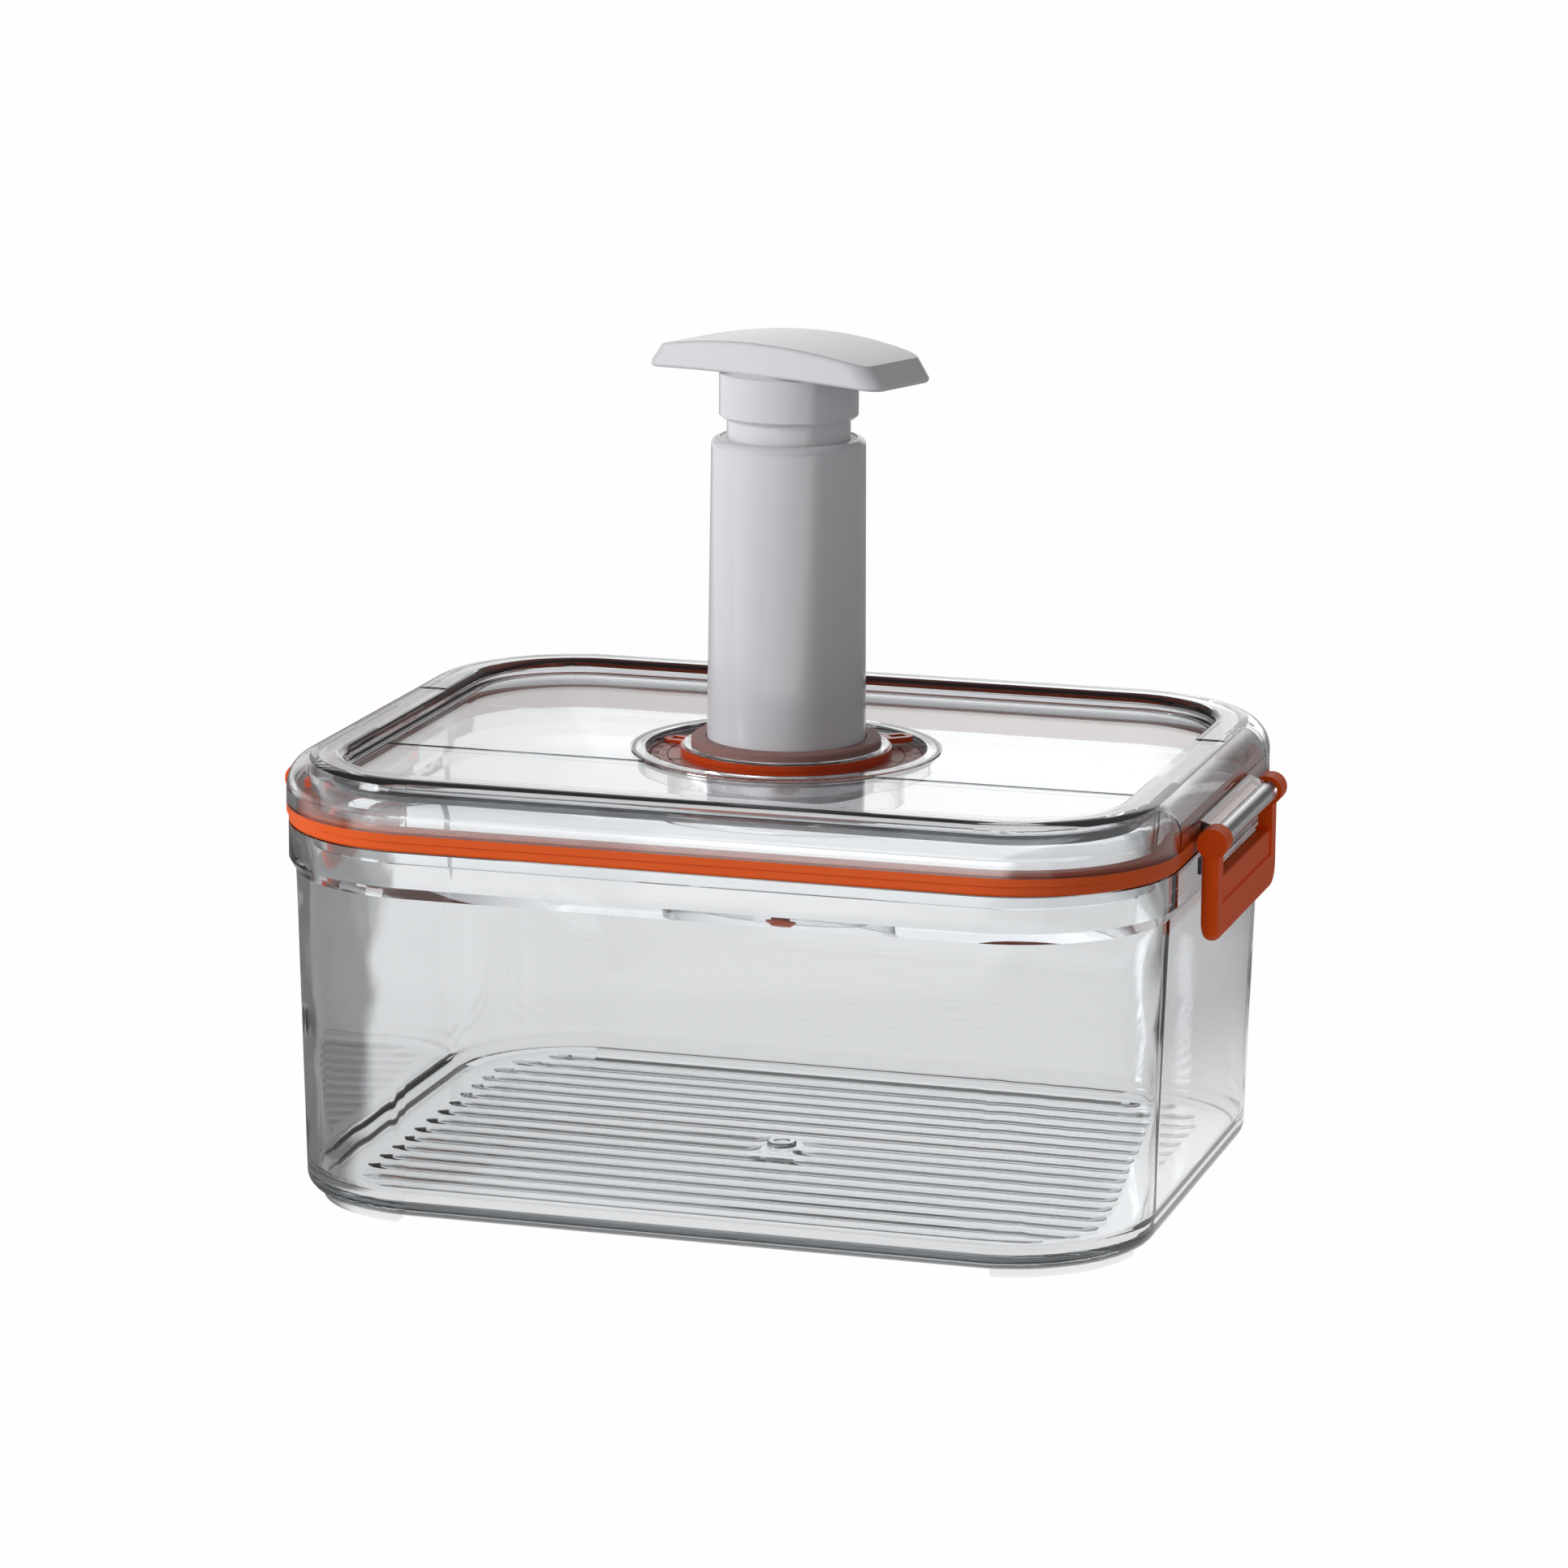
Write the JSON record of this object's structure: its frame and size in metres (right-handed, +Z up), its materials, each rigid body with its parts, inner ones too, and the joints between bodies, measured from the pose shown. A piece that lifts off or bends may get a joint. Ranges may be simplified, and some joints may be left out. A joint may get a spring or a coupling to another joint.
{
  "type": "vacuum seal canister",
  "caption": "Clear rectangular food canister with a gasketed latched lid, a date dial round its valve and a hand vacuum pump standing on the valve.",
  "frame": {"origin": "middle of the plane that the four feet stand on", "axes": "+Z up along the pump, +X along the box towards the right latch, -Y towards the front long side"},
  "size_m": [0.2424, 0.179, 0.2125],
  "materials": {
    "clear_plastic": "clear polished moulding",
    "orange_silicone": "smooth silicone",
    "orange_plastic": "satin moulding",
    "pin_steel": "drawn wire",
    "seal_rubber": "matt",
    "dial_plastic": "clear with printed numbers",
    "pump_plastic": "satin moulding",
    "foot_rubber": "soft matt",
    "bush_plastic": "plain moulding"
  },
  "bodies": {
    "tub": {"tub": "clear_plastic", "catch_right": "clear_plastic", "catch_left": "clear_plastic"},
    "lid": {"lid": "clear_plastic", "lid_gasket": "orange_silicone", "valve_cup": "clear_plastic", "cup_seal": "seal_rubber", "dial_plate": "dial_plastic"},
    "latch_right": {"latch_right": "orange_plastic", "hinge_pin_right": "pin_steel"},
    "latch_left": {"latch_left": "orange_plastic", "hinge_pin_left": "pin_steel"},
    "month_pointer": {"month_pointer": "orange_plastic"},
    "day_pointer": {"day_pointer": "orange_plastic"},
    "valve_plug": {"valve_plug": "orange_silicone"},
    "pump": {"pump_barrel": "pump_plastic", "foot_seal": "foot_rubber", "barrel_base": "pump_plastic", "inlet_valve": "seal_rubber", "guide_bush": "bush_plastic"},
    "plunger": {"pump_handle": "pump_plastic", "plunger_tube": "pump_plastic", "piston_head": "pump_plastic", "piston_seal": "seal_rubber", "exhaust_valve": "seal_rubber", "piston_screw": "pin_steel"}
  },
  "joints": [
    {"name": "lid_lift", "type": "slide", "parent": "tub", "child": "lid", "axis": [0, 0, 1], "range_m": [0, 0.02]},
    {"name": "latch_right_swing", "type": "hinge", "parent": "lid", "child": "latch_right", "pos_m": [0.1175, 0, 0.0994], "axis": [0, -1, 0], "range_deg": [0, 95.1]},
    {"name": "latch_left_swing", "type": "hinge", "parent": "lid", "child": "latch_left", "pos_m": [-0.1175, 0, 0.0994], "axis": [0, 1, 0], "range_deg": [0, 95.1]},
    {"name": "month_turn", "type": "hinge", "parent": "lid", "child": "month_pointer", "pos_m": [0, 0, 0.1072], "axis": [0, 0, 1], "continuous": true},
    {"name": "day_turn", "type": "hinge", "parent": "lid", "child": "day_pointer", "pos_m": [0, 0, 0.1084], "axis": [0, 0, 1], "continuous": true},
    {"name": "valve_pull", "type": "slide", "parent": "lid", "child": "valve_plug", "axis": [0, 0, 1], "range_m": [0, 0.0012]},
    {"name": "pump_lift", "type": "slide", "parent": "lid", "child": "pump", "axis": [0, 0, 1], "range_m": [0, 0.04]},
    {"name": "plunger_stroke", "type": "slide", "parent": "pump", "child": "plunger", "axis": [0, 0, 1], "range_m": [0, 0.053]}
  ],
  "couplings": [
    {"joint": "latch_right_swing", "follows": "lid_lift", "rad_per_m": 82.903},
    {"joint": "latch_left_swing", "follows": "lid_lift", "rad_per_m": 82.903}
  ]
}
